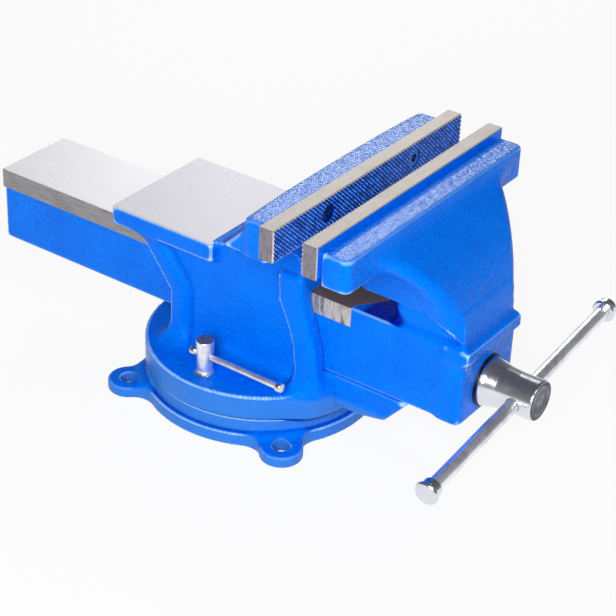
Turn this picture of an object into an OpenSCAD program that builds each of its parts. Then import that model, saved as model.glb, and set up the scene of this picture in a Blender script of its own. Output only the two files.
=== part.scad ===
// Swivel bench vise with an anvil and a slide beam that runs through the body.
// Millimetres, +Z up, origin on the swivel axis at the bench face.
// Jaw width lies along X, the screw along Y, and the operator stands at -Y.

/* [Jaws] */
// Length of each jaw plate
jaw_width = 200; // [180:1:216]
// Height of each jaw plate
plate_height = 21; // [18:0.5:24]
// Thickness of each jaw plate
plate_thickness = 11; // [9:0.5:13]
// Height of the plate tops above the bench
jaw_top = 183; // [179:0.5:190]
// Gap between the plates as drawn
jaw_opening = 18.5; // [18.5:0.5:26]
// Distance of the fixed plate's face in front of the swivel axis
jaw_face = 79; // [76:0.5:84]
// How far each plate end stands out past its casting
plate_overhang = 9; // [6:0.5:12]
// How far each plate stands above its casting
plate_rise = 5; // [3:0.5:7]
// Thickness of the casting behind a plate
block_thickness = 16.5; // [14:0.5:18]
// Sideways distance of each plate screw from the middle
plate_screw_x = 46; // [35:1:60]

/* [Slide beam] */
// Width of the beam over its machined band
beam_width = 62; // [56:1:64]
// Height of the beam
beam_height = 52; // [48:0.5:54]
// Height of the beam's top above the bench
beam_top = 104; // [103:0.5:106]
// Distance of the beam's rear end behind the swivel axis
beam_rear = 200; // [195:1:215]
// Height of the machined band along the beam's top
band_height = 13.5; // [10:0.5:16]
// How far the machined band stands out
band_proud = 0.8; // [0.4:0.1:1.4]
// Thickness of the beam's side walls
beam_wall = 10; // [8:0.5:11]
// Thickness of the beam's roof
beam_roof = 12; // [9:0.5:13]

/* [Moving jaw] */
// Distance of the beam's front face behind the moving plate's back
front_reach = 59.5; // [56:0.5:64]
// Thickness of the front wall that carries the screw
front_wall = 18; // [15:0.5:22]
// How far the hood's lip stands out past the front wall
lip_out = 3.5; // [2:0.5:4]
// Bulge of the hood's front over its straight line
hood_bulge = 12; // [9:0.5:13]
// Radius of the hollow flank on each side of the hood
hood_flank = 74; // [70:0.5:78]
// Height of the hood's skirt above the beam's top
skirt_rise = 18; // [15:0.5:20]
// Bulge of the fixed jaw's rear edge over its straight line
rear_bulge = 5; // [3:0.5:7]

/* [Body] */
// Half width of the column between its ribs
column_half = 37; // [36:0.5:38]
// How far the ribs stand out of the column
rib_out = 5; // [3:0.5:5]
// Distance of the column's front foot from the swivel axis
column_front = 74; // [71:0.5:75]
// Distance of the column's rear from the swivel axis
column_rear = 46; // [42:0.5:48]
// Width of the anvil
anvil_width = 89; // [80:1:100]
// Distance of the anvil's rear edge behind the swivel axis
anvil_rear = 90; // [86:1:96]
// Distance of the anvil's front edge behind the swivel axis
anvil_front = 9; // [6:0.5:12]
// Thickness of the anvil slab
anvil_thickness = 13; // [11:0.5:16]

/* [Base] */
// Radius of the swivel disc
disc_radius = 77; // [76.5:0.5:80]
// Height of the swivel disc
disc_height = 17.7; // [16:0.1:18.5]
// Height of the base casting
base_height = 18.5; // [17.5:0.1:19]
// Diameter of the circle through the bench bolts
bolt_circle = 176; // [174:1:184]
// Diameter of each bench bolt hole
bolt_hole = 11; // [9:0.5:12]
// Radius of each lug's rounded end
lug_radius = 12; // [10.5:0.5:13]
// Height of each lug
lug_height = 8; // [6:0.5:10]

/* [Screw and handle] */
// Diameter of the lead screw
screw_diameter = 20; // [18:0.5:21]
// Height of the screw axis above the bench
screw_height = 70; // [70:0.5:72]
// Length of the screw's head
head_length = 36; // [32:0.5:40]
// Diameter of the head where it meets the washer
head_base_diameter = 32; // [29:0.5:34]
// Diameter of the head at its end
head_end_diameter = 26; // [23:0.5:28]
// Diameter of the handle bar
bar_diameter = 9; // [8:0.5:10]
// Length of the handle over its caps
handle_length = 215; // [190:1:230]
// Tilt of the handle as drawn
handle_tilt = 6.5; // [0:0.5:20]

/* [Swivel locks] */
// Distance of each lock screw from the swivel axis
lock_reach = 61; // [60:0.5:61.5]
// Diameter of a lock screw's head at its top
lock_head_diameter = 12.4; // [11:0.2:13]
// Height of a lock screw's head
lock_head_height = 23; // [20:0.5:26]
// Diameter of a lock bar
lock_bar_diameter = 3.6; // [3:0.1:4]
// Length of a lock bar over its knobs
lock_bar_length = 71; // [56:1:72]

/* [Hidden] */
$fn = 96;
slide_clear = 0.3;
running_fit = 0.08;
free_fit = 0.4;
seat_fit = 0.05;
eps = 0.02;

// Jaw positions
fixed_face = -jaw_face;
fixed_seat = fixed_face + plate_thickness;
moving_face = fixed_face - jaw_opening;
moving_seat = moving_face - plate_thickness;
block_half = jaw_width / 2 - plate_overhang;
block_top = jaw_top - plate_rise;
plate_bottom = jaw_top - plate_height;
fixed_block_rear = fixed_seat + 0.8 * block_thickness;
rim = moving_seat - block_thickness;
block_bottom = plate_bottom - 7;

// Beam and moving jaw
beam_half = beam_width / 2;
painted_half = beam_half - band_proud;
beam_bottom = beam_top - beam_height;
front_face = moving_seat - front_reach;
wall_back = front_face + front_wall;
hollow_half = painted_half - beam_wall;
hollow_top = beam_top - beam_roof;
lip_face = front_face - lip_out;
lip_bottom = beam_top - 9;
lip_top = beam_top - 4;
front_bottom = beam_bottom - 3;
column_back = moving_face - 2.5;
band_front = moving_face + 9.5;
flank_foot = beam_top - 3;
skirt_top = beam_top + skirt_rise;
skirt_run = 39.5;
skirt_drop = skirt_top - flank_foot;
skirt_radius = (pow(skirt_run, 2) + pow(skirt_drop, 2)) / (2 * skirt_drop);
skirt_bend = lip_face + skirt_run;
column_round = 22;

// Base and body heights
disc_bottom = base_height + free_fit;
disc_top = disc_bottom + disc_height;
tunnel_half = beam_half + slide_clear;
tunnel_floor = beam_bottom - slide_clear;
tunnel_top = beam_top + slide_clear;
anvil_bottom = tunnel_top + 1.7;
anvil_top = anvil_bottom + anvil_thickness;
rib_half = column_half + rib_out;
neck_flank = block_half - column_half;
neck_foot = block_bottom - neck_flank;
front_waist = fixed_seat + 8;
neck_root = anvil_front + 2;
rear_curve = 38;
rib_width = 16;
leg_width = 11;
tongue_front = wall_back + jaw_opening + 1.5;
tongue_half = beam_half - 1;

// Pivot and clamp groove between the base and the body
spigot_radius = 20;
spigot_bottom = base_height - 10;
groove_floor = 4;
groove_lip = 11;
groove_half = 10.5;
slot_half = 6.5;
lock_shank = 4.5;

// Screw, nut and handle
screw_radius = screw_diameter / 2;
washer_thickness = 2;
head_start = front_face - washer_thickness - running_fit;
head_end = head_start - head_length;
head_base_radius = head_base_diameter / 2;
head_end_radius = head_end_diameter / 2;
head_waist_radius = head_end_radius + 0.35 * (head_base_radius - head_end_radius);
bar_y = head_end + 0.34 * head_length;
bar_radius = bar_diameter / 2;
screw_rear_gap = 15;
screw_end = beam_rear - screw_rear_gap;
nut_half_length = 22;
nut_half_width = hollow_half - 2.5;
nut_roof = 5;
nut_top = screw_height + screw_radius + nut_roof;
nut_stem_radius = 12;
nut_stem_bottom = disc_top;
nut_bolt_radius = 5;
nut_bolt_grip = 14;
nut_bolt_head = 7;
nut_bolt_tip = nut_stem_bottom + nut_bolt_grip;
collar_radius = screw_radius + 4.5;
collar_length = 12;
collar_pin_radius = 2.5;
cap_length = 9;
cap_flange = 3;
cap_flange_radius = bar_radius + 3.2;
cap_knob_radius = bar_radius + 1.9;

// Plate screws
plate_screw_z = jaw_top - plate_height / 2;
plate_screw_head = 5.4;
plate_screw_shank = 3.5;
plate_screw_seat = 6;
plate_screw_grip = 9;

// Swivel lock details
lock_washer_radius = 8.5;
lock_washer_thickness = 1.5;
lock_head_bottom = disc_top + lock_washer_thickness + running_fit;
lock_head_radius = lock_head_diameter / 2;
lock_bar_height = lock_head_bottom + 0.5 * lock_head_height;
lock_bar_radius = lock_bar_diameter / 2;
lock_knob_length = 4;
lock_knob_radius = lock_bar_radius + 1.6;
lock_bar_front = lock_head_radius + free_fit + lock_knob_length - lock_bar_length;

blue_paint = [0.02, 0.33, 0.85];
machined_grey = [0.78, 0.77, 0.76];
plate_steel = [0.5, 0.5, 0.52];
bright_steel = [0.82, 0.83, 0.85];
black_steel = [0.2, 0.2, 0.22];

// Extrudes a side view, drawn as [y, z], both ways along X
module along_x(half)
    rotate([90, 0, 90])
        linear_extrude(2 * half, center = true)
            children();

// Extrudes a front view, drawn as [x, z], from one y to a larger one
module along_y(y_start, y_end)
    translate([0, y_end, 0])
        rotate([90, 0, 0])
            linear_extrude(y_end - y_start)
                children();

// Cylinder along Y from one y to a larger one, on the axis at x and z
module y_rod(x, z, r, y_start, y_end)
    translate([x, y_end, z])
        rotate([90, 0, 0])
            cylinder(h = y_end - y_start, r = r);

// Upright cylinder between two heights
module z_rod(x, y, r, z_start, z_end)
    translate([x, y, z_start])
        cylinder(h = z_end - z_start, r = r);

// Box between two corners
module block(low, high)
    translate(low)
        cube(high - low);

// Revolves a profile, drawn as [radius, y], about the screw axis
module about_screw()
    translate([0, 0, screw_height])
        rotate([-90, 0, 0])
            rotate_extrude()
                children();

// Places its child on the handle's axis, with X along the bar
module on_handle()
    translate([0, bar_y, screw_height])
        rotate([0, -handle_tilt, 0])
            children();

// Front view of a jaw head: a wide top that narrows through a hollow flank on each side to a straight foot
module jaw_front(foot_half, flank, z_foot) {
    difference() {
        translate([-block_half, z_foot])
            square([2 * block_half, block_top - z_foot]);
        for (side = [-1, 1])
            translate([side * (foot_half + flank), z_foot])
                circle(flank);
    }
    translate([-foot_half, z_foot - flank])
        square([2 * foot_half, flank + eps]);
}

// Base
module lug(angle)
    rotate([0, 0, angle]) {
        z_rod(bolt_circle / 2, 0, lug_radius, 0, lug_height);
        block([disc_radius - 12, -lug_radius, 0], [bolt_circle / 2, lug_radius, lug_height]);
    }

module base_profile()
    difference() {
        polygon([[spigot_radius + free_fit, 0], [disc_radius - 0.5, 0], [disc_radius - 0.5, 7.5],
            [disc_radius - 1.5, 8.5], [disc_radius - 2.5, base_height - 3],
            [disc_radius - 2.5, base_height], [spigot_radius + free_fit, base_height]]);
        translate([lock_reach - groove_half, groove_floor])
            square([2 * groove_half, groove_lip - groove_floor]);
        translate([lock_reach - slot_half, groove_floor])
            square([2 * slot_half, base_height]);
        translate([spigot_radius + 7, -1])
            square([lock_reach - groove_half - spigot_radius - 12, 11]);
    }

module base()
    color(blue_paint)
        difference() {
            union() {
                rotate_extrude()
                    base_profile();
                difference() {
                    for (turn = [0:3])
                        lug(45 + 90 * turn);
                    z_rod(0, 0, disc_radius - 5, -1, lug_height + 1);
                }
            }
            for (turn = [0:3])
                rotate([0, 0, 45 + 90 * turn])
                    z_rod(bolt_circle / 2, 0, bolt_hole / 2, -1, lug_height + 1);
            z_rod(0, lock_reach, groove_half, groove_floor, base_height + 1);
        }

// Body
module body_side()
    difference() {
        polygon([[-column_front, disc_top - 1], [-column_front, tunnel_floor + 4],
            [front_waist, anvil_top - 1], [column_rear + rear_curve, anvil_bottom + 1],
            [column_rear + rear_curve, disc_top - 1]]);
        translate([column_rear + rear_curve, anvil_bottom - rear_curve])
            circle(rear_curve);
        translate([column_rear, disc_top - 2])
            square([rear_curve + 1, anvil_bottom - rear_curve - disc_top + 2]);
    }

module rear_rib_side()
    intersection() {
        body_side();
        translate([column_rear - rib_width, disc_top - 2])
            square([rear_curve + rib_width, anvil_bottom - disc_top + 2]);
    }

module front_leg_side()
    polygon([[-column_front, disc_bottom], [-column_front, tunnel_floor + 4],
        [front_waist, anvil_top - 1], [front_waist + 17, anvil_bottom - 10],
        [-column_front + 15, tunnel_floor + 10], [-column_front + leg_width, disc_bottom]]);

module front_leg()
    intersection() {
        along_x(rib_half)
            front_leg_side();
        union() {
            translate([0, 0, disc_bottom])
                cylinder(h = tunnel_floor - disc_bottom, r1 = disc_radius, r2 = disc_radius + 8);
            z_rod(0, 0, disc_radius + 8, tunnel_floor - eps, anvil_top);
        }
    }

module tongue_side()
    polygon([[-column_front + 12, disc_top - 8], [tongue_front + 34, disc_top - 8.5],
        [tongue_front + 15, disc_top - 5], [tongue_front, tunnel_floor - 3],
        [tongue_front, tunnel_floor], [-column_front + 12, tunnel_floor]]);

module neck_side()
    difference() {
        polygon([[fixed_seat, block_top], [fixed_seat, plate_bottom], [front_waist, anvil_top - 1],
            [front_waist, anvil_bottom], [neck_root, anvil_bottom], [neck_root, anvil_top - 1],
            [anvil_front, anvil_top - 1], [anvil_front, block_top]]);
        translate([anvil_front, anvil_top + anvil_front - fixed_block_rear])
            circle(anvil_front - fixed_block_rear);
        translate([fixed_block_rear, anvil_top + anvil_front - fixed_block_rear])
            square([anvil_front - fixed_block_rear + 1, block_top]);
    }

module fixed_jaw()
    intersection() {
        along_x(block_half)
            neck_side();
        along_y(fixed_face, neck_root)
            jaw_front(column_half, neck_flank, neck_foot);
    }

// Bulged rear of the fixed jaw's block
module fixed_rear() {
    bulge_radius = (pow(block_half, 2) + pow(rear_bulge, 2)) / (2 * rear_bulge);
    intersection() {
        z_rod(0, fixed_block_rear + rear_bulge - bulge_radius, bulge_radius, block_bottom, block_top);
        block([-block_half, fixed_seat, block_bottom], [block_half, anvil_front, block_top]);
    }
}

module body()
    color(blue_paint)
        difference() {
            union() {
                z_rod(0, 0, disc_radius, disc_bottom, disc_top);
                z_rod(0, 0, spigot_radius, spigot_bottom, disc_top);
                along_x(column_half)
                    body_side();
                along_x(rib_half)
                    rear_rib_side();
                front_leg();
                along_x(tongue_half)
                    tongue_side();
                block([-anvil_width / 2, anvil_front, anvil_bottom],
                    [anvil_width / 2, anvil_rear, anvil_top]);
                fixed_jaw();
                fixed_rear();
            }
            block([-tunnel_half, tongue_front - 1, tunnel_floor], [tunnel_half, anvil_rear - 1, tunnel_top]);
            z_rod(0, 0, nut_stem_radius + seat_fit, nut_stem_bottom, tunnel_floor + 1);
            z_rod(0, 0, nut_bolt_radius + free_fit, spigot_bottom - 1, nut_stem_bottom + 1);
            z_rod(0, 0, 2.1 * nut_bolt_radius, spigot_bottom - 1, disc_bottom);
            for (side = [-1, 1]) {
                z_rod(side * lock_reach, 0, lock_shank + free_fit, disc_bottom - 1, disc_top + 1);
                y_rod(side * plate_screw_x, plate_screw_z, plate_screw_shank + seat_fit,
                    fixed_seat - 1, fixed_seat + plate_screw_grip);
            }
        }

// Jaw plates and their screws, drawn with the gripping face at y = 0 and the back at +y
module jaw_plate()
    color(plate_steel)
        difference() {
            block([-jaw_width / 2, 0, plate_bottom], [jaw_width / 2, plate_thickness, jaw_top]);
            for (side = [-1, 1]) {
                y_rod(side * plate_screw_x, plate_screw_z, plate_screw_shank + free_fit,
                    -1, plate_thickness + 1);
                y_rod(side * plate_screw_x, plate_screw_z, plate_screw_head + free_fit, -1, plate_screw_seat);
            }
        }

module plate_screw(side)
    color(black_steel)
        difference() {
            union() {
                y_rod(side * plate_screw_x, plate_screw_z, plate_screw_head, 1, plate_screw_seat);
                y_rod(side * plate_screw_x, plate_screw_z, plate_screw_shank,
                    plate_screw_seat - eps, plate_thickness + plate_screw_grip - 1);
            }
            translate([side * plate_screw_x, 4, plate_screw_z])
                rotate([90, 0, 0])
                    cylinder(h = 5, r = 2.9, $fn = 6);
        }

module on_fixed_jaw()
    translate([0, fixed_face, 0])
        children();

module on_moving_jaw()
    translate([0, moving_face, 0])
        mirror([0, 1, 0])
            children();

module fixed_jaw_plate()
    on_fixed_jaw() jaw_plate();

module moving_jaw_plate()
    on_moving_jaw() jaw_plate();

module fixed_plate_screw_left()
    on_fixed_jaw() plate_screw(-1);

module fixed_plate_screw_right()
    on_fixed_jaw() plate_screw(1);

module moving_plate_screw_left()
    on_moving_jaw() plate_screw(-1);

module moving_plate_screw_right()
    on_moving_jaw() plate_screw(1);

// Moving jaw: the hood's front is one arc from under the jaw block to the lip
hood_start = [rim, block_top - 7];
hood_stop = [lip_face + 5, lip_top + 5];
hood_top = (hood_start.y + block_top) / 2;
hood_chord = norm(hood_stop - hood_start);
hood_radius = (pow(hood_chord / 2, 2) + pow(hood_bulge, 2)) / (2 * hood_bulge);
hood_out = [hood_stop.y - hood_start.y, hood_start.x - hood_stop.x] / hood_chord;
hood_centre = (hood_start + hood_stop) / 2 - hood_out * (hood_radius - hood_bulge);

module hood_side()
    intersection() {
        polygon([[moving_seat, hood_top], [moving_seat, plate_bottom], [column_back, plate_bottom - 12],
            [column_back, lip_bottom], [hood_stop.x - 20, lip_bottom], [hood_stop.x - 20, hood_top]]);
        translate(hood_centre)
            circle(hood_radius, $fn = 180);
    }

// Side view of the space under the hood's skirt, which bends down to the lip
module under_skirt() {
    translate([skirt_bend, skirt_top - skirt_radius])
        circle(skirt_radius);
    translate([skirt_bend, lip_bottom - 1])
        square([column_back + 1 - skirt_bend, skirt_top - lip_bottom + 1]);
}

module hood_cap()
    difference() {
        intersection() {
            along_x(block_half)
                hood_side();
            along_y(hood_stop.x - 20, column_back + 1)
                jaw_front(beam_half, hood_flank, flank_foot);
        }
        along_x(block_half + 1)
            under_skirt();
    }

// Column that carries the cap on the beam, rounded at its rear
module hood_column()
    intersection() {
        along_x(painted_half)
            hood_side();
        union() {
            for (side = [-1, 1])
                z_rod(side * (painted_half - column_round), column_back - column_round, column_round,
                    lip_bottom, skirt_top + 2);
            block([column_round - painted_half, lip_face, lip_bottom],
                [painted_half - column_round, column_back, skirt_top + 2]);
            block([-painted_half, lip_face, lip_bottom],
                [painted_half, column_back - column_round, skirt_top + 2]);
        }
    }

module jaw_block()
    along_x(block_half)
        polygon([[rim, block_bottom], [rim + 4, block_bottom], [moving_seat, plate_bottom],
            [moving_seat, block_top], [rim, block_top]]);

module lip()
    block([-beam_half, lip_face, lip_bottom], [beam_half, lip_face + front_wall, lip_top + 3]);

module beam()
    difference() {
        union() {
            block([-painted_half, front_face, beam_bottom], [painted_half, beam_rear - band_proud, beam_top]);
            block([-beam_half, band_front, beam_top - band_height], [beam_half, beam_rear, beam_top]);
            block([-painted_half, front_face, front_bottom], [painted_half, wall_back, beam_top]);
        }
        block([-hollow_half, wall_back, beam_bottom - 1], [hollow_half, beam_rear + 1, hollow_top]);
    }

module moving_jaw()
    color(blue_paint)
        difference() {
            union() {
                beam();
                hood_cap();
                hood_column();
                jaw_block();
                lip();
            }
            y_rod(0, screw_height, screw_radius + running_fit, front_face - 1, wall_back + 1);
            for (side = [-1, 1])
                y_rod(side * plate_screw_x, plate_screw_z, plate_screw_shank + seat_fit,
                    moving_seat - plate_screw_grip, moving_seat + 1);
        }

// Screw, nut and handle
module collar_pin_hole()
    z_rod(0, wall_back + collar_length / 2, collar_pin_radius + seat_fit,
        screw_height - 2 * screw_radius, screw_height + 2 * screw_radius);

module lead_screw()
    color(bright_steel)
        difference() {
            about_screw()
                polygon([[0, head_end], [head_end_radius - 1, head_end], [head_end_radius, head_end + 1],
                    [head_end_radius, head_end + 0.55 * head_length],
                    [head_waist_radius, head_end + 0.8 * head_length],
                    [head_base_radius, head_start - 1.5], [head_base_radius, head_start],
                    [screw_radius, head_start], [screw_radius, screw_end - 2], [screw_radius - 2, screw_end],
                    [0, screw_end]]);
            on_handle()
                rotate([0, 90, 0])
                    cylinder(h = 3 * head_base_radius, r = bar_radius + slide_clear, center = true);
            collar_pin_hole();
        }

module screw_nut()
    color(machined_grey)
        difference() {
            union() {
                block([-nut_half_width, -nut_half_length, tunnel_floor],
                    [nut_half_width, nut_half_length, nut_top]);
                z_rod(0, 0, nut_stem_radius, nut_stem_bottom, tunnel_floor + 1);
            }
            y_rod(0, screw_height, screw_radius + slide_clear, -nut_half_length - 1, nut_half_length + 1);
            z_rod(0, 0, nut_bolt_radius + seat_fit, nut_stem_bottom - 1, nut_bolt_tip + 1);
        }

module nut_bolt()
    color(black_steel)
        union() {
            z_rod(0, 0, nut_bolt_radius, disc_bottom - eps, nut_bolt_tip);
            translate([0, 0, disc_bottom - nut_bolt_head])
                cylinder(h = nut_bolt_head, r = 1.8 * nut_bolt_radius, $fn = 6);
        }

module thrust_washer()
    color(bright_steel)
        about_screw()
            translate([screw_radius + free_fit, front_face - washer_thickness])
                square([head_base_radius + 1 - screw_radius - free_fit, washer_thickness]);

module retaining_collar()
    color(black_steel)
        difference() {
            about_screw()
                translate([screw_radius + seat_fit, wall_back + running_fit])
                    square([collar_radius - screw_radius - seat_fit, collar_length - running_fit]);
            collar_pin_hole();
        }

module collar_pin()
    color(bright_steel)
        z_rod(0, wall_back + collar_length / 2, collar_pin_radius,
            screw_height - collar_radius + 0.5, screw_height + collar_radius - 0.5);

module handle_bar()
    color(bright_steel)
        on_handle()
            rotate([0, 90, 0])
                cylinder(h = handle_length - cap_length, r = bar_radius, center = true);

// A bar cap drawn on the +X end, with its wide flange next to the bar or at the outer end
module handle_cap(flange_outside)
    color(bright_steel)
        on_handle()
            translate([(flange_outside ? -1 : 1) * (handle_length / 2 - cap_length), 0, 0])
                rotate([0, flange_outside ? -90 : 90, 0])
                    difference() {
                        union() {
                            cylinder(h = cap_length, r = cap_knob_radius);
                            translate([0, 0, flange_outside ? cap_length - cap_flange : 0])
                                cylinder(h = cap_flange, r = cap_flange_radius);
                        }
                        translate([0, 0, -1])
                            cylinder(h = cap_length / 2 + 1, r = bar_radius + seat_fit);
                    }

module handle_cap_left()
    handle_cap(true);

module handle_cap_right()
    handle_cap(false);

// Swivel locks, drawn on the +X side and mirrored for the left one
module lock_side(side)
    translate([side * lock_reach, 0, 0])
        children();

module lock_screw(side)
    color(bright_steel)
        lock_side(side)
            difference() {
                union() {
                    translate([0, 0, lock_head_bottom])
                        cylinder(h = lock_head_height, r1 = lock_head_radius - 0.7, r2 = lock_head_radius);
                    z_rod(0, 0, lock_shank, groove_floor + 2.5, lock_head_bottom + 1);
                }
                y_rod(0, lock_bar_height, lock_bar_radius + slide_clear,
                    -lock_head_radius - 1, lock_head_radius + 1);
            }

module lock_washer(side)
    color(bright_steel)
        lock_side(side)
            difference() {
                z_rod(0, 0, lock_washer_radius, disc_top, disc_top + lock_washer_thickness);
                z_rod(0, 0, lock_shank + free_fit, disc_top - 1, disc_top + lock_washer_thickness + 1);
            }

module clamp_nut(side)
    color(black_steel)
        lock_side(side)
            difference() {
                union() {
                    z_rod(0, 0, groove_half - 1.5, groove_floor + 1, groove_lip - free_fit / 2);
                    z_rod(0, 0, slot_half - 0.8, groove_lip - 1, disc_bottom);
                }
                z_rod(0, 0, lock_shank + slide_clear, groove_floor, disc_bottom + 1);
            }

module lock_bar(side)
    color(bright_steel)
        lock_side(side)
            y_rod(0, lock_bar_height, lock_bar_radius, lock_bar_front + lock_knob_length / 2,
                lock_bar_front + lock_bar_length - lock_knob_length / 2);

// A knob of the lock bar: its bore holds the bar's end to half its length
module lock_knob(side, y_start, bore_start)
    color(bright_steel)
        lock_side(side)
            difference() {
                y_rod(0, lock_bar_height, lock_knob_radius, y_start, y_start + lock_knob_length);
                y_rod(0, lock_bar_height, lock_bar_radius + seat_fit,
                    bore_start, bore_start + lock_knob_length);
            }

module lock_knob_front(side)
    lock_knob(side, lock_bar_front, lock_bar_front + lock_knob_length / 2);

module lock_knob_rear(side)
    lock_knob(side, lock_bar_front + lock_bar_length - lock_knob_length,
        lock_bar_front + lock_bar_length - 1.5 * lock_knob_length);

module lock_screw_left() lock_screw(-1);
module lock_screw_right() lock_screw(1);
module lock_washer_left() lock_washer(-1);
module lock_washer_right() lock_washer(1);
module clamp_nut_left() clamp_nut(-1);
module clamp_nut_right() clamp_nut(1);
module lock_bar_left() lock_bar(-1);
module lock_bar_right() lock_bar(1);
module lock_knob_left_front() lock_knob_front(-1);
module lock_knob_left_rear() lock_knob_rear(-1);
module lock_knob_right_front() lock_knob_front(1);
module lock_knob_right_rear() lock_knob_rear(1);

base();
body();
fixed_jaw_plate();
fixed_plate_screw_left();
fixed_plate_screw_right();
moving_jaw();
moving_jaw_plate();
moving_plate_screw_left();
moving_plate_screw_right();
lead_screw();
screw_nut();
nut_bolt();
thrust_washer();
retaining_collar();
collar_pin();
handle_bar();
handle_cap_left();
handle_cap_right();
lock_screw_left();
lock_screw_right();
lock_washer_left();
lock_washer_right();
clamp_nut_left();
clamp_nut_right();
lock_bar_left();
lock_bar_right();
lock_knob_left_front();
lock_knob_left_rear();
lock_knob_right_front();
lock_knob_right_rear();
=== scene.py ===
"""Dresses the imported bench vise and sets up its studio, in metres and in the part's own frame."""

import math

import bpy
import numpy as np
from mathutils import Matrix, Vector


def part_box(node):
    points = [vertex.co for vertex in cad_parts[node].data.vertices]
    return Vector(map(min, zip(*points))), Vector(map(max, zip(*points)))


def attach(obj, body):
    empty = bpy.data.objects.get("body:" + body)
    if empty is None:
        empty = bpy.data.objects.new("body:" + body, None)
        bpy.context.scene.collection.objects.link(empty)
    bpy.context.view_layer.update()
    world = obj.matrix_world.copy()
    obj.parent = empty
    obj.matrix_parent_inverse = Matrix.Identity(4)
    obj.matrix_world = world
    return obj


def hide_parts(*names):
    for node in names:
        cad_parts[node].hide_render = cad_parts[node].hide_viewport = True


MM = 0.001

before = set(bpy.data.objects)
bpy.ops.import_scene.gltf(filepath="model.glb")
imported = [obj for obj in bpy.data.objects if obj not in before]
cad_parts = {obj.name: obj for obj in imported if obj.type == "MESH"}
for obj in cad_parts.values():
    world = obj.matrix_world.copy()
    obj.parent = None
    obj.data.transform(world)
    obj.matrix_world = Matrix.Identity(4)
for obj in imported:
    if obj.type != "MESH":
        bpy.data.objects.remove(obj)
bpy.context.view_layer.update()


def node_box(node):
    """Lowest and highest corner of a CAD node, in millimetres."""
    low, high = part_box(node)
    return np.array(low) / MM, np.array(high) / MM


# Boxes of the CAD nodes, in millimetres like all sizes below
base_low, base_high = node_box("base")
body_low, body_high = node_box("body")
slide_low, slide_high = node_box("moving_jaw")
screw_low, screw_high = node_box("lead_screw")
washer_low, washer_high = node_box("thrust_washer")
fixed_plate_low, fixed_plate_high = node_box("fixed_jaw_plate")
moving_plate_low, moving_plate_high = node_box("moving_jaw_plate")

# Jaw plates and the blocks that carry them
jaw_half = fixed_plate_high[0]
jaw_top = fixed_plate_high[2]
plate_bottom = fixed_plate_low[2]
plate_middle = (jaw_top + plate_bottom) / 2
plate_thickness = fixed_plate_high[1] - fixed_plate_low[1]
plate_screw_x = 46
knurl_depth = 0.9
fixed_seat = fixed_plate_high[1]
moving_seat = moving_plate_low[1]
block_half = body_high[0]
block_top = body_high[2]
block_bottom = plate_bottom - 7
fixed_thickness = 13.2
rear_bulge = 5
moving_half = jaw_half - 4
moving_thickness = 18.5
moving_bottom = block_bottom + 2

# Moving jaw: beam, front wall, stem, hood and lip
beam_half = 31
painted_half = 30.2
beam_top = 104
beam_bottom = 52
beam_rear = slide_high[1]
band_bottom = beam_top - 13.5
band_front = moving_plate_high[1] + 9.5
band_joint = 0
front_face = washer_high[1]
front_bottom = slide_low[2]
wall_back = front_face + 18
hollow_half = 20.2
hollow_top = 92
stem_back = moving_plate_high[1] - 2.5
pocket_back = stem_back - 15
hood_back = stem_back + 7
hood_top = 174
hood_middle = (-97.2, 107.5)
hood_radius = 69.3
hood_flank = 74
flank_foot = beam_top - 3
lip_face = slide_low[1]
lip_bottom = beam_top - 9
lip_top = beam_top - 1
skirt_top = beam_top + 20.5
skirt_bend = lip_face + 38.5
skirt_radius = 40

# Base
base_top = base_high[2]
disc_radius = 77
flange_radius = disc_radius + 1.5
flange_height = 9
ring_radius = disc_radius - 1.8
lug_radius = 14
lug_height = 8
bolt_reach = 88
bolt_radius = 5.5
spigot_radius = 20
spigot_bore = spigot_radius + 0.4
lock_reach = 61
groove_half = 10.5
slot_half = 6.5
groove_floor = 4
groove_roof = 11
underside_depth = 10

# Body
disc_bottom = base_top + 0.4
disc_top = disc_bottom + 17.7
spigot_bottom = base_top - 10
nut_bolt_bore = 10.5
lock_bore = 5.4
tunnel_half = beam_half + 0.3
tunnel_floor = beam_bottom - 0.3
tunnel_top = beam_top + 0.3
column_half = 37
rib_half = 42
rib_width = 13
neck_flank = block_half - column_half
neck_foot = block_bottom - neck_flank
seat_bottom = block_bottom - 5
anvil_half = 44.5
anvil_front = 9
anvil_rear = body_high[1]
anvil_bottom = 106
anvil_top = 119
tongue_half = 30
tongue_front = body_low[1]

# Screw, handle and locks
screw_height = 70
screw_radius = 10
screw_pitch = 6
thread_depth = 1.9
head_end = screw_low[1]
head_start = washer_low[1] - 0.08
neck_end = wall_back + 14
handle_y = head_end + 0.34 * (head_start - head_end)
handle_half = 107.5
handle_tilt = math.radians(6.5)
handle_radius = 4.5
cap_length = 9
lock_bar_radius = 2.1
bar_clearance = 0.3


# Solids as distance fields: millimetres from the surface, negative inside


def join(a, b, fillet=0.0):
    """Union of two solids, with a concave fillet where they meet."""
    if fillet == 0.0:
        return np.minimum(a, b)
    corner = np.hypot(np.maximum(fillet - a, 0), np.maximum(fillet - b, 0))
    return np.maximum(fillet, np.minimum(a, b)) - corner


def meet(a, b, edge=0.0):
    """What two solids share, with the edge between them rounded."""
    return -join(-a, -b, edge)


def cut(a, b, edge=0.0):
    """The first solid without the second, with the new edge rounded."""
    return meet(a, -b, edge)


def slab(value, low, high):
    """The space between two values along one axis."""
    return np.abs(value - (low + high) / 2) - (high - low) / 2


def block(x, y, z, low, high, edge=0.0):
    """Box between two corners."""
    plan = meet(slab(x, low[0], high[0]), slab(y, low[1], high[1]), edge)
    return meet(plan, slab(z, low[2], high[2]), edge)


def rod(u, v, middle, radius):
    """Endless cylinder across two axes."""
    return np.hypot(u - middle[0], v - middle[1]) - radius


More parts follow.
